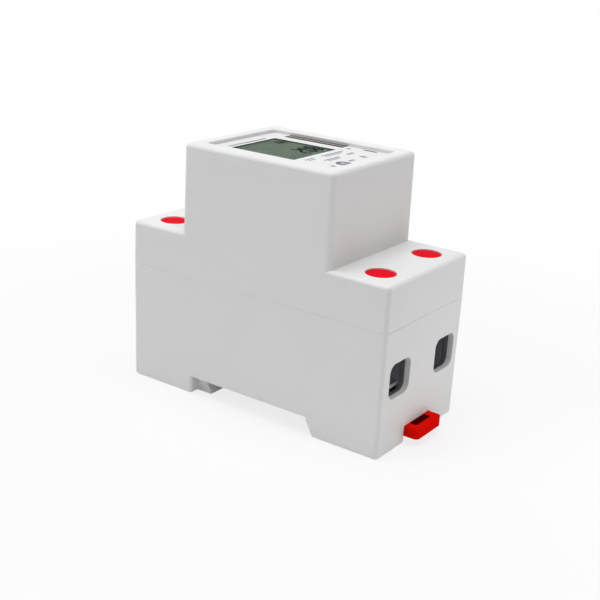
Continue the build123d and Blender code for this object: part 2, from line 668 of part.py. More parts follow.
# Pulse light: domed lens, flange and two leads down to the display board
with BuildPart() as pulse_led:
    led_tip = plate_top + LED_PROUD
    led_foot = led_tip - LED_BODY
    shoulder_r = LED_DIAMETER / 2
    dome_z = led_tip - shoulder_r
    with BuildSketch(Plane(origin=(led_x, LED_Y, 0), x_dir=(1, 0, 0), z_dir=(0, -1, 0))):
        with BuildLine():
            Polyline(
                (0, led_tip),
                (0, led_foot),
                (shoulder_r + LED_FLANGE, led_foot),
                (shoulder_r + LED_FLANGE, led_foot + 2 * LED_FLANGE),
                (shoulder_r, led_foot + 2 * LED_FLANGE),
                (shoulder_r, dome_z),
            )
            CenterArc((0, dome_z), shoulder_r, 0, 90)
        make_face()
    revolve(axis=Axis((led_x, LED_Y, 0), (0, 0, 1)))
    with BuildSketch(Plane.XY.offset(display_board_top)):
        with Locations((led_x - PIN_PITCH / 2, LED_Y), (led_x + PIN_PITCH / 2, LED_Y)):
            Rectangle(LED_LEAD, LED_LEAD)
    extrude(amount=led_foot - display_board_top)
pulse_led.part.label = "pulse_led"
export_step(pulse_led.part, "parts/pulse_led.step")


def chip(place, face, size, leads, lead_pitch, downwards=False):
    """A moulded chip on a board face, with a row of bent leads along each long side."""
    x, y = place
    length, width, height = size
    away = -1 if downwards else 1
    foot = LEAD_FOOT
    body = sorted((face + away * LEAD_THICKNESS, face + away * height))
    block(span(x, length), span(y, width), body)
    for side in (-1, 1):
        for dx in row_of(leads, lead_pitch):
            lead_x = span(x + dx, LEAD_WIDTH)
            knee = y + side * (width / 2 + foot / 2)
            upper = sorted((y + side * width / 2, knee + side * LEAD_THICKNESS / 2))
            middle = face + away * height / 2
            block(lead_x, upper, span(middle, LEAD_THICKNESS))
            riser = sorted((face, middle + away * LEAD_THICKNESS / 2))
            block(lead_x, span(knee, LEAD_THICKNESS), riser)
            flat = sorted((knee, knee + side * foot / 2))
            block(lead_x, flat, sorted((face, face + away * LEAD_THICKNESS)))


# Chips: the metering one on the main board, the processor under the display board
with BuildPart() as metering_chip:
    chip(METER_CHIP_PLACE, main_board_top, METER_CHIP_SIZE, METER_LEAD_COUNT, METER_LEAD_PITCH)
metering_chip.part.label = "metering_chip"
export_step(metering_chip.part, "parts/metering_chip.step")

with BuildPart() as processor_chip:
    chip(PROCESSOR_PLACE, display_board_bottom, PROCESSOR_SIZE, PROCESSOR_LEAD_COUNT, PROCESSOR_LEAD_PITCH, True)
processor_chip.part.label = "processor_chip"
export_step(processor_chip.part, "parts/processor_chip.step")

# Crystal can under the display board
with BuildPart() as timing_crystal:
    with BuildSketch(Plane.XY.offset(display_board_bottom - CRYSTAL_SIZE[2])):
        with Locations(CRYSTAL_PLACE):
            SlotOverall(CRYSTAL_SIZE[0], CRYSTAL_SIZE[1])
    extrude(amount=CRYSTAL_SIZE[2])
timing_crystal.part.label = "timing_crystal"
export_step(timing_crystal.part, "parts/timing_crystal.step")

# Film capacitor that drops the mains voltage
with BuildPart() as dropper_capacitor:
    dropper_left = DROPPER_INSET - board_length / 2
    dropper_x = (dropper_left, dropper_left + DROPPER_SIZE[0])
    dropper_y = span(DROPPER_Y, DROPPER_SIZE[1])
    block(dropper_x, dropper_y, (main_board_top, main_board_top + DROPPER_SIZE[2]))
    fillet(dropper_capacitor.edges().filter_by(Axis.Z), DROPPER_EDGE)
dropper_capacitor.part.label = "dropper_capacitor"
export_step(dropper_capacitor.part, "parts/dropper_capacitor.step")

# Smoothing capacitor with the bead rolled in near its foot
with BuildPart() as supply_capacitor:
    can = SUPPLY_DIAMETER / 2
    supply_x = header_x - STRIP_WIDTH / 2 - SUPPLY_PIN_GAP - can
    supply_foot = (supply_x, SUPPLY_Y, main_board_top)
    with BuildSketch(Plane(origin=supply_foot, x_dir=(1, 0, 0), z_dir=(0, -1, 0))):
        with BuildLine():
            Polyline(
                (can, SUPPLY_BEAD_RISE - SUPPLY_BEAD),
                (can, 0),
                (0, 0),
                (0, SUPPLY_HEIGHT),
                (can - SUPPLY_BEAD, SUPPLY_HEIGHT),
                (can, SUPPLY_HEIGHT - SUPPLY_BEAD),
                (can, SUPPLY_BEAD_RISE + SUPPLY_BEAD),
            )
            RadiusArc((can, SUPPLY_BEAD_RISE + SUPPLY_BEAD), (can, SUPPLY_BEAD_RISE - SUPPLY_BEAD), -SUPPLY_BEAD)
        make_face()
    revolve(axis=Axis(supply_foot, (0, 0, 1)))
supply_capacitor.part.label = "supply_capacitor"
export_step(supply_capacitor.part, "parts/supply_capacitor.step")

# Surge varistor standing on edge
with BuildPart() as surge_varistor:
    varistor_x = VARISTOR_INSET - board_length / 2
    varistor_z = main_board_top + VARISTOR_DIAMETER / 2
    with BuildSketch(Plane.XZ.offset(-VARISTOR_Y - VARISTOR_THICKNESS / 2)):
        with Locations((varistor_x, varistor_z)):
            Circle(VARISTOR_DIAMETER / 2)
            with Locations((0, -VARISTOR_DIAMETER / 4)):
                Rectangle(VARISTOR_DIAMETER / 2, VARISTOR_DIAMETER / 2)
    extrude(amount=VARISTOR_THICKNESS)
surge_varistor.part.label = "surge_varistor"
export_step(surge_varistor.part, "parts/surge_varistor.step")

# Current path: the through bar of the neutral, and the two line bars with the shunt between
with BuildPart() as neutral_bar:
    block((-bar_end, bar_end), span(terminal_y, BAR_WIDTH), (bar_bottom, bar_top))
    chamfer(neutral_bar.edges().filter_by(Axis.Z), BAR_EASE)
neutral_bar.part.label = "neutral_bar"
export_step(neutral_bar.part, "parts/neutral_bar.step")

with BuildPart() as line_in_bar:
    block((-bar_end, -shunt_half), span(-terminal_y, BAR_WIDTH), (bar_bottom, bar_top))
    chamfer(line_in_bar.edges().filter_by(Axis.Z).group_by(Axis.X)[0], BAR_EASE)
line_in_bar.part.label = "line_in_bar"
export_step(line_in_bar.part, "parts/line_in_bar.step")

with BuildPart() as line_out_bar:
    block((shunt_half, bar_end), span(-terminal_y, BAR_WIDTH), (bar_bottom, bar_top))
    chamfer(line_out_bar.edges().filter_by(Axis.Z).group_by(Axis.X)[-1], BAR_EASE)
line_out_bar.part.label = "line_out_bar"
export_step(line_out_bar.part, "parts/line_out_bar.step")

with BuildPart() as shunt:
    shunt_z = (bar_top - SHUNT_THICKNESS, bar_top)
    block((-shunt_half, shunt_half), span(-terminal_y, BAR_WIDTH), shunt_z)
shunt.part.label = "shunt"
export_step(shunt.part, "parts/shunt.step")

# Tap pins from the bars up to the main board: two beside the shunt, one on the neutral
with BuildPart() as tap_pins:
    with BuildSketch(Plane.XY.offset(bar_top)):
        with Locations((-TAP_PIN_X, -terminal_y), (TAP_PIN_X, -terminal_y), (TAP_PIN_X, terminal_y)):
            Circle(TAP_PIN_DIAMETER / 2)
    extrude(amount=main_board_bottom - bar_top)
tap_pins.part.label = "tap_pins"
export_step(tap_pins.part, "parts/tap_pins.step")

# The four terminals: black liner, rising cage, clamping screw and the plug over its well
for place, (side, row, turns) in TERMINALS.items():
    x = side * terminal_x
    y = row * terminal_y
    lift = turns * THREAD_PITCH

    with BuildPart() as terminal_liner:
        liner_span = sorted(side * reach for reach in liner_x)
        block(liner_span, span(y, 2 * liner_half), (liner_bottom, well_bottom - LINER_GAP))
        pocket = sorted(side * reach for reach in pocket_x)
        block(pocket, span(y, 2 * pocket_half), (pocket_floor, well_bottom), mode=Mode.SUBTRACT)
        slot = sorted(side * reach for reach in (liner_x[0] - LINER_WALL, pocket_x[0] + LINER_WALL))
        block(slot, span(y, BAR_WIDTH + 2 * BAR_SIDE_GAP), (bar_bottom, well_bottom), mode=Mode.SUBTRACT)
        with BuildSketch(Plane.YZ.offset(x)):
            with Locations((y, up(ENTRY_SILL + ENTRY_HEIGHT / 2))):
                RectangleRounded(ENTRY_WIDTH, ENTRY_HEIGHT, ENTRY_RADIUS)
        extrude(amount=side * TERMINAL_INSET, mode=Mode.SUBTRACT)
    terminal_liner.part.label = f"terminal_liner_{place}"
    export_step(terminal_liner.part, f"parts/terminal_liner_{place}.step")

    with BuildPart() as clamp_cage:
        with BuildSketch(Plane.YZ.offset(x - CAGE_LENGTH / 2)):
            with Locations((y, (cage_bottom + cage_top) / 2 + lift)):
                RectangleRounded(cage_width, cage_top - cage_bottom, CAGE_CORNER)
            with Locations((y, (sill_plate_top + cage_underside) / 2 + lift)):
                inner_corner = CAGE_CORNER - CAGE_WALL
                RectangleRounded(ENTRY_WIDTH, cage_underside - sill_plate_top, inner_corner, mode=Mode.SUBTRACT)
        extrude(amount=CAGE_LENGTH)
        post(x, y, cage_underside + lift, cage_top + lift, THREAD_DIAMETER / 2 + THREAD_GAP, Mode.SUBTRACT)
    clamp_cage.part.label = f"clamp_cage_{place}"
    export_step(clamp_cage.part, f"parts/clamp_cage_{place}.step")

    with BuildPart() as clamp_screw:
        post(x, y, bar_top + SCREW_END_GAP, head_bottom, THREAD_DIAMETER / 2)
        chamfer(clamp_screw.edges().sort_by(Axis.Z)[0], SCREW_POINT)
        post(x, y, head_bottom, head_top, SCREW_HEAD_DIAMETER / 2)
        chamfer(clamp_screw.edges().filter_by(GeomType.CIRCLE).sort_by(Axis.Z)[-1], SCREW_HEAD_EASE)
        slot_length = span(x, 2 * SCREW_HEAD_DIAMETER)
        slot_z = (head_top - SCREW_SLOT_DEPTH, head_top)
        block(slot_length, span(y, SCREW_SLOT_WIDTH), slot_z, mode=Mode.SUBTRACT)
    clamp_screw.part.label = f"clamp_screw_{place}"
    export_step(clamp_screw.part, f"parts/clamp_screw_{place}.step")

    with BuildPart() as screw_plug:
        post(x, y, plug_bottom, plug_bottom + PLUG_THICKNESS, PLUG_DIAMETER / 2)
        chamfer(screw_plug.edges().sort_by(Axis.Z)[-1], PLUG_CHAMFER)
    screw_plug.part.label = f"screw_plug_{place}"
    export_step(screw_plug.part, f"parts/screw_plug_{place}.step")

# Pull clip: nose, wings that run in the foot's grooves, spring window and pull slot
with BuildPart() as rail_clip:
    with BuildSketch(Plane.XY.offset(clip_bottom)) as clip_plan:
        with Locations(((clip_tip_x + clip_end_x) / 2, 0)):
            Rectangle(clip_end_x - clip_tip_x, CLIP_WIDTH)
        fillet(clip_plan.vertices().group_by(Axis.X)[-1], CLIP_CORNER)
    extrude(amount=CLIP_THICKNESS)
    wing_half = CLIP_WIDTH / 2 + CLIP_WING
    wing_z = (clip_top - CLIP_WING_THICKNESS, clip_top)
    block(wing_x, (-wing_half, wing_half), wing_z)
    block(spring_window_x, span(0, SPRING_WINDOW_WIDTH), (clip_bottom, clip_top), mode=Mode.SUBTRACT)
    with BuildSketch(Plane.XY.offset(clip_bottom)):
        pull_x = clip_end_x - PULL_SLOT_INSET - PULL_SLOT_WIDTH / 2
        with Locations((pull_x, 0)):
            RectangleRounded(PULL_SLOT_WIDTH, PULL_SLOT_LENGTH, PULL_SLOT_WIDTH / 4)
    extrude(amount=CLIP_THICKNESS, mode=Mode.SUBTRACT)

    # Nose under the rail flange, slanted below so that the rail pushes it back
    with BuildSketch(Plane.XZ.offset(-CLIP_WIDTH)):
        with BuildLine():
            nose_top = clip_bottom + CLIP_TIP_THICKNESS
            Polyline(
                (clip_tip_x - CLIP_TIP_FACE, nose_top),
                (channel_right + CLIP_TOP_PLAY, nose_top),
                (channel_right + CLIP_TOP_PLAY + CLIP_TIP_FACE, clip_top),
                (channel_right, clip_top + CLIP_TOP_PLAY),
                (clip_tip_x - CLIP_TIP_FACE, clip_top + CLIP_TOP_PLAY),
                close=True,
            )
        make_face()
        with BuildLine():
            Polyline(
                (clip_tip_x, clip_bottom),
                (clip_tip_x, nose_top - CLIP_TIP_FACE),
                (clip_tip_x + CLIP_TIP_THICKNESS, clip_bottom),
                close=True,
            )
        make_face()
    extrude(amount=2 * CLIP_WIDTH, mode=Mode.SUBTRACT)
rail_clip.part.label = "rail_clip"
export_step(rail_clip.part, "parts/rail_clip.step")

# Compression spring between the clip's window and the base's peg
with BuildPart() as clip_spring:
    spring_start = spring_window_x[0] + SPRING_WIRE / 2 + SPRING_END_GAP
    spring_end = peg_x[0] - SPRING_WIRE / 2 - SPRING_END_GAP
    spring_length = spring_end - spring_start
    coil = (SPRING_DIAMETER - SPRING_WIRE) / 2
    with BuildLine() as coil_path:
        spring_pitch = spring_length / SPRING_TURNS
        Helix(spring_pitch, spring_length, coil, center=(spring_start, 0, spring_z), direction=(1, 0, 0))
    with BuildSketch(Plane(origin=coil_path.line @ 0, z_dir=coil_path.line % 0)):
        Circle(SPRING_WIRE / 2)
    sweep(is_frenet=True)
clip_spring.part.label = "clip_spring"
export_step(clip_spring.part, "parts/clip_spring.step")
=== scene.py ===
import json
from math import cos, pi, radians, sin

import bpy
import numpy as np
from mathutils import Matrix, Vector


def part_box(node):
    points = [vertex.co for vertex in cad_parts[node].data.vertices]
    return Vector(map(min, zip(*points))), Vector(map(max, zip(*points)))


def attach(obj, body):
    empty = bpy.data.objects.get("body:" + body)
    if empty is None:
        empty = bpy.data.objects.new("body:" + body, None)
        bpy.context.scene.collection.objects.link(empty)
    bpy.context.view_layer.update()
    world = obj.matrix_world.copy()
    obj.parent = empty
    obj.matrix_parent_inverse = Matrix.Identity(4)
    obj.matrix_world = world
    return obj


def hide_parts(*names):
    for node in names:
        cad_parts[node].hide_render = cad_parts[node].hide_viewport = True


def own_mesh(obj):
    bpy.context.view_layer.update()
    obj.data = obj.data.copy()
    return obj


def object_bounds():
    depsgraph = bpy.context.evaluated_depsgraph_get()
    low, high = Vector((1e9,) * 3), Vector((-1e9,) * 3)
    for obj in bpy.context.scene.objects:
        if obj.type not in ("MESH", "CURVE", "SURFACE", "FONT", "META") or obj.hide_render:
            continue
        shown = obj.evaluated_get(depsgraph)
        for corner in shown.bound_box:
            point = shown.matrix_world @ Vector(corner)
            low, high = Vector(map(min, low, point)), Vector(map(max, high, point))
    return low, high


# Two-module energy meter for a 35 mm rail, on a pale studio floor.
# The solids bring the shapes. This script gives each its finish, and adds the print on
# the plate, the digits in the display, the coil of the clip spring and the studio.

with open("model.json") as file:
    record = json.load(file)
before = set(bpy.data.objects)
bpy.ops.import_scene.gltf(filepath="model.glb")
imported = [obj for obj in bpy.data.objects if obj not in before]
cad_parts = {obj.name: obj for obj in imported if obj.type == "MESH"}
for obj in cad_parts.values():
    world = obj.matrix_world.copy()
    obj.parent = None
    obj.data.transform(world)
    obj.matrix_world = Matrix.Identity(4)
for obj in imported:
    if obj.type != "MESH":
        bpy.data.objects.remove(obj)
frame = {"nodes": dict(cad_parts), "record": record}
cad_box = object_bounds()
MM = 0.001

# Camera, as the photograph shows the meter
AZIMUTH = radians(34.644)
ELEVATION = radians(19.386)
ROLL = radians(3.026)
DISTANCE = 279.05 * MM
NEAREST_SEEN = DISTANCE / 20
AIM_HEIGHT = 28.1 * MM
AIM_RIGHT = 1.649 * MM
AIM_UP = -6.565 * MM
FOCAL_PIXELS = 1088.5
PICTURE_PIXELS = 600
SENSOR = 36.0

# Lamps, in metres and watts
MIDDLE = (cad_box[0] + cad_box[1]) / 2
LAMPS = {
    "overhead": dict(place=(0.0, -0.05, 0.75), target=MIDDLE, size=0.5, power=3.7),
    "right_fill": dict(place=(0.12, 0.03, 0.014), target=(0.045, 0, 0), size=0.03, power=0.011),
    "left_fill": dict(place=(-0.75, -0.56, 0.65), target=MIDDLE, size=0.6, power=2.05),
}
WORLD_LEVEL = 0.315

# Floor, in metres. Out to PLAIN_FLOOR the camera sees NEAR_WHITE parts of white and the
# rest of the lit paper, which shows the shadow. From WHITE_FLOOR on it sees only white.
FLOOR_HALF = 4.0
FLOOR_COLOUR = (0.86, 0.86, 0.86)
PLAIN_FLOOR = 0.05
WHITE_FLOOR = 0.2
NEAR_WHITE = 0.78
WHITE = (1.0, 1.0, 1.0, 1.0)

# Print on the faceplate, in millimetres, and one bar of painted shade. A bar is (x from, x to,
# y from, y to), and a row of small print is (x of its middle, y from, y to, height, words).
INK_THICKNESS = 0.03
DARK_BARS = [
    (-13.2, 5.0, 10.9, 11.7),
    # Painted shade and print: this bar runs along the foot of the recess's back wall, where it
    # stands for the shadow of the gap between plate and wall, and is also the printed strip's far
    # edge
    (-13.2, 5.0, 13.2, 13.8),
    (10.3, 14.1, 12.3, 12.9),
]
BAND_BARS = [(-13.2, 5.0, 11.7, 13.2)]
TEXT_ROWS = [
    (7.3, -8.6, -5.2, 0.5, 5),
    (8.2, -8.4, -5.6, 0.45, 4),
    (7.3, -1.6, 7.3, 0.6, 9),
    (8.2, -1.2, 5.6, 0.5, 7),
    (10.6, -5.3, 0.9, 0.6, 6),
    (11.5, -4.8, 0.2, 0.45, 5),
    (10.4, 4.9, 7.7, 0.9, 3),
    (14.7, 5.0, 6.2, 1.8, 1),
    (15.0, -1.3, 0.9, 0.9, 2),
    (15.5, -9.4, -8.3, 1.0, 1),
    (6.8, 10.3, 11.7, 0.8, 2),
    (-15.0, -9.6, 5.0, 0.8, 9),
]
WORD_GAP = 0.28
WORD_UNEVENNESS = 0.35
WORD_RHYTHM = 2.4

# Inner and outer radius of the ring round the pulse light, in millimetres
LED_RING = (1.35, 1.95)

# Display digits, in millimetres: the text, the x of its foot and the y of its start, then
# the pitch, width, height and segment thickness of a digit. A digit's dark segments are
# lettered clockwise from its top, with g in the middle.
BIG_DIGITS = ("208", 2.9, -0.9, 2.7, 2.5, 6.2, 1.0)
SMALL_DIGITS = ("068", -9.1, 3.6, 1.25, 1.15, 2.8, 0.42)
SEGMENTS = {"0": "abcdef", "2": "abdeg", "6": "acdefg", "8": "abcdefg"}
SEGMENT_GAP = 0.1
DIGIT_THICKNESS = 0.03
DIGIT_LIFT = 0.02

# Clip spring: wire and coil diameter in millimetres, then its turns and the dead turns at each end
SPRING_WIRE = 0.4
SPRING_DIAMETER = 2.4
SPRING_TURNS = 8.5
SPRING_DEAD_TURNS = 1.0

# How far the roughness of moulded plastic and of metal goes up and down, and how many
# times the noise on metal is squeezed along X, Y and Z, for its sheen and for its lines
MOULDED_SHEEN_SPREAD = 0.05
METAL_SHEEN_SPREAD = 0.07
SHEEN_SQUEEZE = (1, 1, 9)
LINES_SQUEEZE = (0.3, 4, 4)

# Inks: colour and gloss
INKS = {
    "print_dark_and_gap_shade": ((0.008, 0.006, 0.006), 0.0),
    "print_band": ((0.30, 0.27, 0.25), 0.0),
    "print_text": ((0.22, 0.22, 0.25), 0.3),
    "print_ring": ((0.10, 0.11, 0.145), 0.3),
    "digit_ink": ((0.004, 0.006, 0.004), 0.0),
}

# Window and display. The sheen is the share of light that the window's polish throws
# back. A face of the window is an upright side where its normal has less Z than the limit, and
# the upright sides get the display's colour as a painted reflection of the display.
WINDOW_SHEEN = 0.03
SHEEN_COLOUR = (0.2, 0.21, 0.205)
WINDOW_INDEX = 1.49
WINDOW_TINT = (0.97, 0.985, 0.975, 1.0)
UPRIGHT_LIMIT = 0.5
DISPLAY_COLOUR = (0.073, 0.092, 0.075)

# Clip's red, and its slot in millimetres: its middle in from the clip's end, its half sizes
# and its lip. Inside the slot the red keeps this share of its tone, as painted shade of the slot.
CLIP_RED = (0.82, 0.006, 0.003)
SLOT_MIDDLE = 2.85
SLOT_HALF = (1.2, 3.6)
SLOT_LIP = 0.15
SLOT_PAINTED_SHADE = 0.26

# Range that holds most values of a noise
NOISE_MIDDLE = (0.3, 0.7)

# Sockets of a colour Mix node, which has several of the same name
MIX_COLOUR_INPUTS = (0, 6, 7)
MIX_COLOUR_OUTPUT = 2


def node_box(name):
    """Lowest and highest corner of a node at rest, in metres, as two arrays."""
    low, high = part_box(name)
    return np.array(low), np.array(high)


# Meshes

def put_piece(name, points, faces, finish, body, smooth=False):
    """A mesh object at the origin, riding on a body, from points and lists of point numbers."""
    mesh = bpy.data.meshes.new(name)
    mesh.from_pydata(points.reshape(-1, 3).tolist(), [], faces)
    mesh.polygons.foreach_set("use_smooth", [smooth] * len(mesh.polygons))
    mesh.materials.append(finish.material)
    mesh.update()
    piece = bpy.data.objects.new(name, mesh)
    bpy.context.scene.collection.objects.link(piece)
    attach(piece, body)
    return piece


def pads(outlines, bottom, top):
    """Closed flat pads over convex outlines.

    outlines is an array (pad, corner, 2) of corners that run anticlockwise seen from
    above. Each pad is that outline at the bottom height, the same at the top height,
    and a wall between the two.
    """
    count, corners, _ = outlines.shape
    points = np.zeros((count, 2, corners, 3))
    points[..., :2] = outlines[:, None]
    points[:, 0, :, 2] = bottom
    points[:, 1, :, 2] = top
    number = np.arange(count * 2 * corners).reshape(count, 2, corners)
    after = np.roll(number, -1, axis=2)
    lids = number[:, 1].tolist()
    floors = number[:, 0, ::-1].tolist()
    walls = np.stack([number[:, 0], after[:, 0], after[:, 1], number[:, 1]], axis=-1)
    return points, lids + floors + walls.reshape(-1, 4).tolist()


def loop_faces(rings, sides, closed):
    """Four-sided faces between neighbouring rings, the last joined to the first if closed."""
    number = np.arange(rings * sides).reshape(rings, sides)
    here = number if closed else number[:-1]
    ahead = np.roll(number, -1, axis=0) if closed else number[1:]
    beside = np.roll(here, -1, axis=1)
    ahead_beside = np.roll(ahead, -1, axis=1)
    return np.stack([here, beside, ahead_beside, ahead], axis=-1).reshape(-1, 4).tolist()


def flat_ring(centre, inner, outer, bottom, top, sides=64):
    """A flat washer: the four corners of its section, carried round the centre by the angle."""
    angle = np.linspace(0, 2 * pi, sides, endpoint=False)[:, None]
    radius = np.array([outer, outer, inner, inner])
    height = np.array([bottom, top, top, bottom])
    points = np.stack([
        centre[0] + radius * np.cos(angle),
        centre[1] + radius * np.sin(angle),
        np.broadcast_to(height, (sides, 4)),
    ], axis=-1)
    return points, loop_faces(sides, 4, True)


def coil(start, end, axis_y, axis_z, steps=320, sides=10):
    """A compression spring along X, as a round wire carried along a helix.

    The first parameter is the turn. The wire advances one wire thickness a turn in the
    dead coils at each end, and evenly in between. The second parameter is an angle round
    the wire. A point is the helix's point plus the wire's radius times the angle's cosine
    outward, and times its sine along the cross product of tangent and outward direction.
    """
    wire = SPRING_WIRE / 2
    radius = SPRING_DIAMETER / 2 - wire
    turn = np.linspace(0, SPRING_TURNS, steps)
    first = start + wire
    last = end - wire
    knots = [0, SPRING_DEAD_TURNS, SPRING_TURNS - SPRING_DEAD_TURNS, SPRING_TURNS]
    advance = SPRING_DEAD_TURNS * SPRING_WIRE
    along = np.interp(turn, knots, [first, first + advance, last - advance, last])
    angle = 2 * pi * turn
    out = np.stack([np.zeros(steps), np.cos(angle), np.sin(angle)], axis=-1)
    middle = np.stack([along, axis_y + radius * out[:, 1], axis_z + radius * out[:, 2]], axis=-1)
    ahead = np.gradient(middle, axis=0)
    ahead /= np.linalg.norm(ahead, axis=1, keepdims=True)
    across = np.cross(ahead, out)
    round_wire = np.linspace(0, 2 * pi, sides, endpoint=False)[None, :, None]
    reach = np.cos(round_wire) * out[:, None] + np.sin(round_wire) * across[:, None]
    points = middle[:, None] + wire * reach
    faces = loop_faces(steps, sides, False)
    faces += [list(range(sides))[::-1], list(range((steps - 1) * sides, steps * sides))]
    return points * MM, faces


# Nodes

def feed(tree, socket, value):
    """Links an output to a socket, or sets the socket to a plain value."""
    if isinstance(value, bpy.types.NodeSocket):
        tree.links.new(value, socket)
    else:
        socket.default_value = value


def add_node(tree, kind, **inputs):
    """A node, with what goes into its sockets by their names."""
    node = tree.nodes.new(kind)
    for socket, value in inputs.items():
        feed(tree, node.inputs[socket.replace("_", " ")], value)
    return node


def reckon(tree, operation, *values):
    """Output of a Math node."""
    node = tree.nodes.new("ShaderNodeMath")
    node.operation = operation
    for socket, value in zip(node.inputs, values):
        feed(tree, socket, value)
    return node.outputs[0]


def mix_shaders(tree, factor, first, second):
    """The first shader where the factor is 0, and the second where it is 1."""
    node = tree.nodes.new("ShaderNodeMixShader")
    for socket, value in zip(node.inputs, (factor, first, second)):
        feed(tree, socket, value)
    return node.outputs[0]


def mix_colours(tree, factor, first, second):
    """The first colour where the factor is 0, and the second where it is 1."""
    node = tree.nodes.new("ShaderNodeMix")
    node.data_type = "RGBA"
    for number, value in zip(MIX_COLOUR_INPUTS, (factor, first, second)):
        feed(tree, node.inputs[number], value)
    return node.outputs[MIX_COLOUR_OUTPUT]


def seen_white(tree):
    """1 for rays that the camera, a gloss or a clear piece sends out, and 0 for others."""
    rays = tree.nodes.new("ShaderNodeLightPath").outputs
    mirrored = reckon(tree, "MAXIMUM", rays["Is Camera Ray"], rays["Is Glossy Ray"])
    return reckon(tree, "MAXIMUM", mirrored, rays["Is Transmission Ray"])


# Finishes

def shade(colour, share):
    """The same colour, lighter or darker by a share."""
    return tuple(min(1.0, channel * share) for channel in colour)


class Finish:
    """A material with one Principled shader, and short calls for the nodes of its pattern."""

    SOCKETS = {
        "roughness": "Roughness", "gloss": "Specular IOR Level", "metal": "Metallic",
        "brushed": "Anisotropic", "coat": "Coat Weight", "coat_roughness": "Coat Roughness",
        "below": "Subsurface Weight", "below_scale": "Subsurface Scale", "index": "IOR",
    }

    def __init__(self, name, colour, **values):
        self.material = bpy.data.materials.new(name)
        self.material.use_nodes = True
        self.tree = self.material.node_tree
        self.shader = self.tree.nodes["Principled BSDF"]
        self.coordinates = self.tree.nodes.new("ShaderNodeTexCoord").outputs
        self.place = self.coordinates["Object"]
        self.shader.inputs["Base Color"].default_value = (*colour, 1.0)
        for socket, value in values.items():
            self.shader.inputs[self.SOCKETS[socket]].default_value = value

    def show(self, surface):
        """Puts another shader's output on the surface."""
        self.tree.links.new(surface, self.tree.nodes["Material Output"].inputs["Surface"])

    def noise(self, waves, detail=2.0, squeeze=(1, 1, 1)):
        """Noise of so many waves a metre over Object coordinates, squeezed by a Mapping node."""
        mapped = add_node(self.tree, "ShaderNodeMapping", Vector=self.place, Scale=squeeze)
        vector = mapped.outputs["Vector"]
        node = add_node(self.tree, "ShaderNodeTexNoise", Vector=vector, Scale=waves, Detail=detail)
        return node.outputs["Fac"]

    def between(self, noise, low, high):
        """A value from low to high as the noise runs over its middle."""
        node = add_node(self.tree, "ShaderNodeMapRange", Value=noise, To_Min=low, To_Max=high)
        for socket, value in zip(("From Min", "From Max"), NOISE_MIDDLE):
            node.inputs[socket].default_value = value
        return node.outputs["Result"]

    def tint(self, noise, first, second):
        """Colour that runs from first to second with the noise."""
        factor = self.between(noise, 0.0, 1.0)
        colour = mix_colours(self.tree, factor, (*first, 1.0), (*second, 1.0))
        self.tree.links.new(colour, self.shader.inputs["Base Color"])

    def vary_roughness(self, noise, low, high):
        """Roughness that runs from low to high with the noise."""
        self.tree.links.new(self.between(noise, low, high), self.shader.inputs["Roughness"])

    def grain(self, pattern, depth, strength):
        """Bump from a pattern, with its depth in millimetres."""
        bump = add_node(
            self.tree, "ShaderNodeBump", Height=pattern, Strength=strength, Distance=depth * MM
        )
        self.tree.links.new(bump.outputs["Normal"], self.shader.inputs["Normal"])


def moulded_plastic(name, colour, roughness, grain_waves, depth, spread):
    """Moulded plastic: spark-eroded grain, slow changes of tone where it flowed, uneven sheen.

    The grain's depth is in millimetres, and the tone's spread is a share of the colour.
    """
    made = Finish(name, colour, roughness=roughness)
    flow = made.noise(waves=60, detail=3.0)
    made.tint(flow, shade(colour, 1 - spread), shade(colour, 1 + spread))
    sheen = made.noise(waves=500)
    made.vary_roughness(sheen, roughness - MOULDED_SHEEN_SPREAD, roughness + MOULDED_SHEEN_SPREAD)
    made.grain(made.noise(grain_waves, detail=3.0), depth, strength=0.6)
    return made


def case_plastic():
    """Light grey of the casing, with a fine matt grain."""
    colour = (0.80, 0.80, 0.797)
    return moulded_plastic("case_plastic", colour, 0.5, grain_waves=3300, depth=0.01, spread=0.006)


def faceplate_plastic():
    """Pale grey of the plate, smoother than the casing."""
    colour = (0.77, 0.775, 0.78)
    return moulded_plastic(
        "faceplate_plastic", colour, 0.42, grain_waves=5200, depth=0.004, spread=0.006
    )


def black_plastic():
    """Black of the terminal liners and other moulded inner pieces."""
    colour = (0.13, 0.132, 0.136)
    return moulded_plastic("black_plastic", colour, 0.5, grain_waves=4200, depth=0.008, spread=0.06)


def chip_black():
    """Black body of a chip."""
    colour = (0.03, 0.03, 0.033)
    return moulded_plastic("chip_black", colour, 0.55, grain_waves=9000, depth=0.004, spread=0.08)


def capacitor_box():
    """Yellow box of the film capacitor."""
    colour = (0.66, 0.46, 0.04)
    return moulded_plastic("capacitor_box", colour, 0.38, grain_waves=3000, depth=0.006, spread=0.05)


def capacitor_can():
    """Dark sleeve of the round capacitor."""
    colour = (0.03, 0.035, 0.07)
    return moulded_plastic("capacitor_can", colour, 0.3, grain_waves=2500, depth=0.004, spread=0.05)


def varistor_blue():
    """Blue dipped coat, whose grain is a rounded orange peel."""
    colour = (0.02, 0.08, 0.36)
    return moulded_plastic("varistor_blue", colour, 0.3, grain_waves=700, depth=0.04, spread=0.06)


def drawn_metal(name, colour, roughness, spread):
    """Drawn and plated metal: fine lines, and a cloudy tone that spreads by a share."""
    made = Finish(name, colour, roughness=roughness, metal=1.0, brushed=0.3)
    cloud = made.noise(waves=420, detail=3.0)
    made.tint(cloud, shade(colour, 1 - spread), shade(colour, 1 + spread))
    sheen = made.noise(waves=1500, squeeze=SHEEN_SQUEEZE)
    made.vary_roughness(sheen, roughness - METAL_SHEEN_SPREAD, roughness + METAL_SHEEN_SPREAD)
    made.grain(made.noise(waves=2400, squeeze=LINES_SQUEEZE), depth=0.004, strength=0.5)
    return made


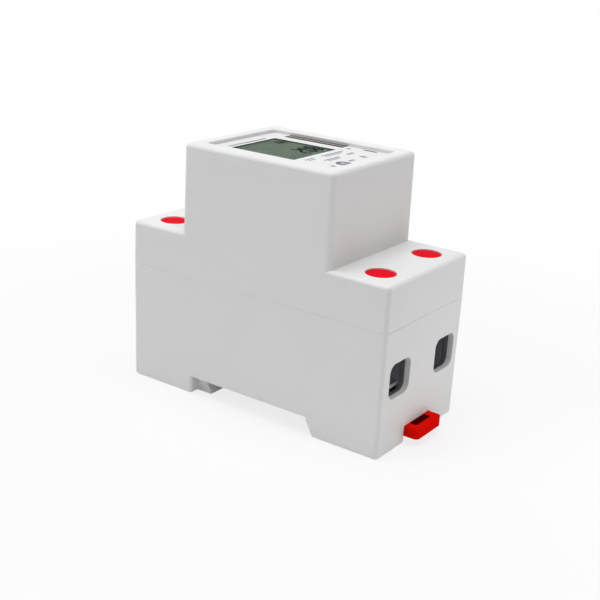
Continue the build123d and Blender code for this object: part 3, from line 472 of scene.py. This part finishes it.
def zinc_steel():
    """Zinc plate on the cages and screws."""
    return drawn_metal("zinc_steel", (0.70, 0.72, 0.75), roughness=0.36, spread=0.05)


def spring_steel():
    """Bare wire of the clip spring."""
    return drawn_metal("spring_steel", (0.50, 0.51, 0.53), roughness=0.28, spread=0.05)


def gold_pin():
    """Gilt contact pins."""
    return drawn_metal("gold_pin", (0.90, 0.68, 0.28), roughness=0.25, spread=0.04)


def copper_bar():
    """Copper bars between the terminals."""
    return drawn_metal("copper_bar", (0.86, 0.60, 0.38), roughness=0.34, spread=0.08)


def shunt_alloy():
    """Resistance alloy of the shunt."""
    return drawn_metal("shunt_alloy", (0.62, 0.45, 0.34), roughness=0.4, spread=0.06)


def window_clear():
    """Clear window: bends sight lines, and its upright sides are a painted reflection of the
    display.

    Shadow rays pass straight through, so that the lamps light the display.
    """
    made = Finish("window_clear", SHEEN_COLOUR, roughness=0.08, index=WINDOW_INDEX)
    made.vary_roughness(made.noise(waves=500), low=0.06, high=0.1)
    tree = made.tree
    pane = add_node(
        tree, "ShaderNodeBsdfRefraction", Color=WINDOW_TINT, Roughness=0.0, IOR=WINDOW_INDEX
    )
    # Painted reflection: upright faces of the window are an opaque diffuse in the display's colour
    side = add_node(tree, "ShaderNodeBsdfDiffuse", Color=(*DISPLAY_COLOUR, 1.0))
    clear = add_node(tree, "ShaderNodeBsdfTransparent", Color=WINDOW_TINT)
    polished = mix_shaders(tree, WINDOW_SHEEN, pane.outputs[0], made.shader.outputs[0])
    normal = add_node(tree, "ShaderNodeSeparateXYZ", Vector=made.coordinates["Normal"])
    slope = reckon(tree, "ABSOLUTE", normal.outputs["Z"])
    upright = reckon(tree, "LESS_THAN", slope, UPRIGHT_LIMIT)
    edged = mix_shaders(tree, upright, polished, side.outputs[0])
    rays = tree.nodes.new("ShaderNodeLightPath").outputs
    made.show(mix_shaders(tree, rays["Is Shadow Ray"], edged, clear.outputs[0]))
    return made


def display_glass():
    """Reflective display: grey green, with a soft cloudiness of its reflector."""
    made = Finish("display_glass", DISPLAY_COLOUR, roughness=0.35, gloss=0.0)
    cloud = made.noise(waves=180, detail=3.0)
    made.tint(cloud, shade(DISPLAY_COLOUR, 0.96), shade(DISPLAY_COLOUR, 1.04))
    made.vary_roughness(made.noise(waves=3000, detail=1.0), low=0.3, high=0.4)
    return made


def light_guide():
    """Milky plastic that spreads light."""
    colour = (0.86, 0.88, 0.84)
    made = Finish("light_guide", colour, roughness=0.25, below=0.3, below_scale=0.002)
    made.vary_roughness(made.noise(waves=900), low=0.2, high=0.32)
    return made


def led_lens():
    """Dull lens of a light that is off."""
    colour = (0.36, 0.37, 0.43)
    made = Finish("led_lens", colour, roughness=0.16, below=0.25, below_scale=0.001)
    made.vary_roughness(made.noise(waves=1200), low=0.12, high=0.22)
    return made


def circuit_board():
    """Green solder mask over a glass weave, whose threads show as a faint bump."""
    colour = (0.02, 0.17, 0.06)
    darker = (0.016, 0.14, 0.05)
    lighter = (0.026, 0.19, 0.07)
    made = Finish("circuit_board", colour, roughness=0.32, coat=0.3, coat_roughness=0.2)
    made.tint(made.noise(waves=240), darker, lighter)
    weave = add_node(
        made.tree, "ShaderNodeTexWave", Vector=made.place, Scale=400.0, Distortion=0.4
    )
    made.grain(weave.outputs["Fac"], depth=0.01, strength=0.35)
    return made


def red_plastic(name="red_plastic", colour=(0.78, 0.005, 0.018), gloss=0.008):
    """Moulded red plastic of the plugs, with a weak gloss, so that the red stays deep."""
    made = Finish(name, colour, roughness=0.5, gloss=gloss)
    made.tint(made.noise(waves=160, detail=3.0), shade(colour, 0.96), shade(colour, 1.04))
    made.vary_roughness(made.noise(waves=700), low=0.45, high=0.56)
    made.grain(made.noise(waves=3600), depth=0.006, strength=0.5)
    return made


def red_clip():
    """The clip's own red, with painted shade that turns it dark inside its slot."""
    made = red_plastic("red_clip", CLIP_RED, gloss=0.0)
    tree = made.tree
    end_x, _, top = node_box("rail_clip")[1].tolist()
    # Painted shade: a mask of the slot, below its lip and within its half sizes, where the red is
    # darkened
    place = add_node(tree, "ShaderNodeSeparateXYZ", Vector=made.place).outputs
    along = reckon(tree, "SUBTRACT", place["X"], end_x - SLOT_MIDDLE * MM)
    inside = reckon(tree, "LESS_THAN", place["Z"], top - SLOT_LIP * MM)
    for offset, half in zip((along, place["Y"]), SLOT_HALF):
        within = reckon(tree, "LESS_THAN", reckon(tree, "ABSOLUTE", offset), half * MM)
        inside = reckon(tree, "MULTIPLY", inside, within)
    base = made.shader.inputs["Base Color"]
    unshaded_red = base.links[0].from_socket
    dark = (*shade(CLIP_RED, SLOT_PAINTED_SHADE), 1.0)
    tree.links.new(mix_colours(tree, inside, unshaded_red, dark), base)
    return made


def ink(name):
    """Pad-printed ink, a little thinner in places."""
    colour, gloss = INKS[name]
    made = Finish(name, colour, roughness=0.4, gloss=gloss)
    made.tint(made.noise(waves=1400), shade(colour, 0.9), shade(colour, 1.12))
    made.vary_roughness(made.noise(waves=2500, detail=1.0), low=0.35, high=0.48)
    return made


FINISHES = {
    make.__name__: make()
    for make in (
        case_plastic, faceplate_plastic, black_plastic, chip_black, capacitor_box, capacitor_can,
        varistor_blue, zinc_steel, spring_steel, gold_pin, copper_bar, shunt_alloy, window_clear,
        display_glass, light_guide, led_lens, circuit_board, red_plastic,
    )
}
OWN_FINISHES = {"rail_clip": red_clip()}


def dress_nodes():
    """Gives every node its own finish, or else the one that the record's slot names."""
    for entry in frame["record"]["subparts"]:
        finish = OWN_FINISHES.get(entry["node"], FINISHES[entry["material_slot"]])
        mesh = frame["nodes"][entry["node"]].data
        mesh.materials.clear()
        mesh.materials.append(finish.material)


# Print and display

def bar_outlines(bars):
    """Corner array of upright rectangles from rows of x from, x to, y from, y to."""
    x0, x1, y0, y1 = np.array(bars, float).T
    corners = [(x0, y0), (x1, y0), (x1, y1), (x0, y1)]
    return np.stack([np.stack(corner, axis=-1) for corner in corners], axis=1)


def text_bars(row):
    """Bars along Y that stand for the words of a row of small print.

    A word's width is 1 plus a sine of its number, scaled so that words and gaps fill the row.
    """
    middle, start, end, height, words = row
    wave = 1 + WORD_UNEVENNESS * np.sin(WORD_RHYTHM * np.arange(words) + middle)
    widths = wave / wave.sum() * (end - start - WORD_GAP * (words - 1))
    starts = start + np.concatenate([[0], np.cumsum(widths + WORD_GAP)[:-1]])
    near, far = middle - height / 2, middle + height / 2
    return [(near, far, y, y + width) for y, width in zip(starts, widths)]


def print_faceplate():
    """Ink pads on the plate, one of them painted shade at the foot of the back wall, and the ring
    round the pulse light.
    """
    bottom = node_box("faceplate")[1][2]
    top = bottom + INK_THICKNESS * MM
    layers = {
        "print_dark_and_gap_shade": DARK_BARS,
        "print_band": BAND_BARS,
        "print_text": [bar for row in TEXT_ROWS for bar in text_bars(row)],
    }
    for name, bars in layers.items():
        points, faces = pads(bar_outlines(bars) * MM, bottom, top)
        put_piece(name, points, faces, ink(name), "casing")
    lens = sum(node_box("pulse_led")) / 2
    inner, outer = (radius * MM for radius in LED_RING)
    points, faces = flat_ring(lens[:2], inner, outer, bottom, top)
    put_piece("print_ring", points, faces, ink("print_ring"), "casing")


def segment_outlines(width, height, thickness):
    """The seven segments of a digit as hexagons, by letter, with the digit's foot at zero.

    A lying segment's hexagon runs between two pointed ends half a thickness inside the
    digit's corners, and a standing one is the same turned by a right angle.
    """
    half = thickness / 2
    left, right = half, width - half
    low, middle, high = half, height / 2, height - half

    def lying(y):
        a, b = left + SEGMENT_GAP, right - SEGMENT_GAP
        lower = [(a, y), (a + half, y - half), (b - half, y - half)]
        upper = [(b, y), (b - half, y + half), (a + half, y + half)]
        return lower + upper

    def standing(x, bottom, top):
        a, b = bottom + SEGMENT_GAP, top - SEGMENT_GAP
        right_side = [(x, a), (x + half, a + half), (x + half, b - half)]
        left_side = [(x, b), (x - half, b - half), (x - half, a + half)]
        return right_side + left_side

    return {
        "a": lying(high), "g": lying(middle), "d": lying(low),
        "f": standing(left, middle, high), "b": standing(right, middle, high),
        "e": standing(left, low, middle), "c": standing(right, low, middle),
    }


def digit_outlines(text, foot_x, start_y, pitch, width, height, thickness):
    """Segment hexagons of a row of digits, written along Y with their tops towards low X."""
    shapes = segment_outlines(width, height, thickness)
    found = []
    for place, digit in enumerate(text):
        for letter in SEGMENTS[digit]:
            across, upward = np.array(shapes[letter]).T
            found.append(np.stack([foot_x - upward, start_y + place * pitch + across], axis=-1))
    return np.array(found)


def write_display():
    """Dark digits on top of the display glass, under the window."""
    bottom = node_box("lcd_panel")[1][2] + DIGIT_LIFT * MM
    outlines = np.concatenate([digit_outlines(*BIG_DIGITS), digit_outlines(*SMALL_DIGITS)])
    points, faces = pads(outlines * MM, bottom, bottom + DIGIT_THICKNESS * MM)
    put_piece("display_digits", points, faces, ink("digit_ink"), "casing")


def wind_spring():
    """The clip's spring, between the wall of the clip's window and the peg of the base."""
    low, high = node_box("clip_spring")
    middle = (low + high) / 2
    points, faces = coil(low[0] / MM, high[0] / MM, middle[1] / MM, middle[2] / MM)
    steel = FINISHES["spring_steel"]
    spring = put_piece("clip_spring_coil", points, faces, steel, "casing", True)
    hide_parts("clip_spring")
    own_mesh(spring)


# Studio

def soft_lamp(name, place, target, size, power):
    """A square soft lamp that faces its target."""
    data = bpy.data.lights.new(name, "AREA")
    data.shape = "SQUARE"
    data.size = size
    data.energy = power
    lamp = bpy.data.objects.new(name, data)
    bpy.context.scene.collection.objects.link(lamp)
    lamp.visible_camera = False
    lamp.location = place
    lamp.rotation_euler = (Vector(target) - Vector(place)).to_track_quat("-Z", "Y").to_euler()


def light_studio():
    """A soft lamp overhead, another far out on the left, and a weak one low at the clip's end."""
    for name, lamp in LAMPS.items():
        soft_lamp(name, **lamp)


def pale_world():
    """Even light all round, seen as white."""
    world = bpy.data.worlds.new("studio")
    world.use_nodes = True
    bpy.context.scene.world = world
    tree = world.node_tree
    light = tree.nodes["Background"]
    light.inputs["Color"].default_value = WHITE
    light.inputs["Strength"].default_value = WORLD_LEVEL
    white = add_node(tree, "ShaderNodeBackground", Color=WHITE, Strength=1.0)
    mixed = mix_shaders(tree, seen_white(tree), light.outputs[0], white.outputs[0])
    tree.links.new(mixed, tree.nodes["World Output"].inputs["Surface"])


def pale_floor():
    """Floor under the feet, which keeps the shadow near the meter and is white further out."""
    height = cad_box[0].z
    corners = [(-1, -1), (1, -1), (1, 1), (-1, 1)]
    points = [(x * FLOOR_HALF, y * FLOOR_HALF, height) for x, y in corners]
    mesh = bpy.data.meshes.new("floor")
    mesh.from_pydata(points, [], [(0, 1, 2, 3)])
    floor = bpy.data.objects.new("floor", mesh)
    bpy.context.scene.collection.objects.link(floor)
    made = Finish("floor_paper", FLOOR_COLOUR, roughness=0.8, gloss=0.0)
    tree = made.tree
    flat = add_node(tree, "ShaderNodeMapping", Vector=made.place, Scale=(1, 1, 0))
    distance = tree.nodes.new("ShaderNodeVectorMath")
    distance.operation = "LENGTH"
    tree.links.new(flat.outputs["Vector"], distance.inputs[0])
    fade = add_node(
        tree, "ShaderNodeMapRange", Value=distance.outputs["Value"],
        From_Min=PLAIN_FLOOR, From_Max=WHITE_FLOOR, To_Min=NEAR_WHITE,
    )
    fade.interpolation_type = "SMOOTHSTEP"
    white_share = reckon(tree, "MULTIPLY", seen_white(tree), fade.outputs["Result"])
    glow = add_node(tree, "ShaderNodeEmission", Color=WHITE, Strength=1.0)
    made.show(mix_shaders(tree, white_share, made.shader.outputs[0], glow.outputs[0]))
    mesh.materials.append(made.material)


def place_camera():
    """Camera that looks back along its own axis, then is moved across its picture and rolled."""
    back = Vector((sin(AZIMUTH) * cos(ELEVATION), -cos(AZIMUTH) * cos(ELEVATION), sin(ELEVATION)))
    right = Vector((cos(AZIMUTH), sin(AZIMUTH), 0))
    up = back.cross(right)
    data = bpy.data.cameras.new("camera")
    data.sensor_width = SENSOR
    data.lens = SENSOR * FOCAL_PIXELS / PICTURE_PIXELS
    data.clip_start = NEAREST_SEEN
    camera = bpy.data.objects.new("camera", data)
    bpy.context.scene.collection.objects.link(camera)
    turned_right = cos(ROLL) * right + sin(ROLL) * up
    turned_up = cos(ROLL) * up - sin(ROLL) * right
    place = Vector((0, 0, AIM_HEIGHT)) + AIM_RIGHT * right + AIM_UP * up + DISTANCE * back
    camera.matrix_world = Matrix((turned_right, turned_up, back)).transposed().to_4x4()
    camera.location = place
    bpy.context.scene.camera = camera


place_camera()
pale_world()
pale_floor()
light_studio()
dress_nodes()
print_faceplate()
write_display()
wind_spring()
bpy.context.scene.view_settings.view_transform = "Standard"
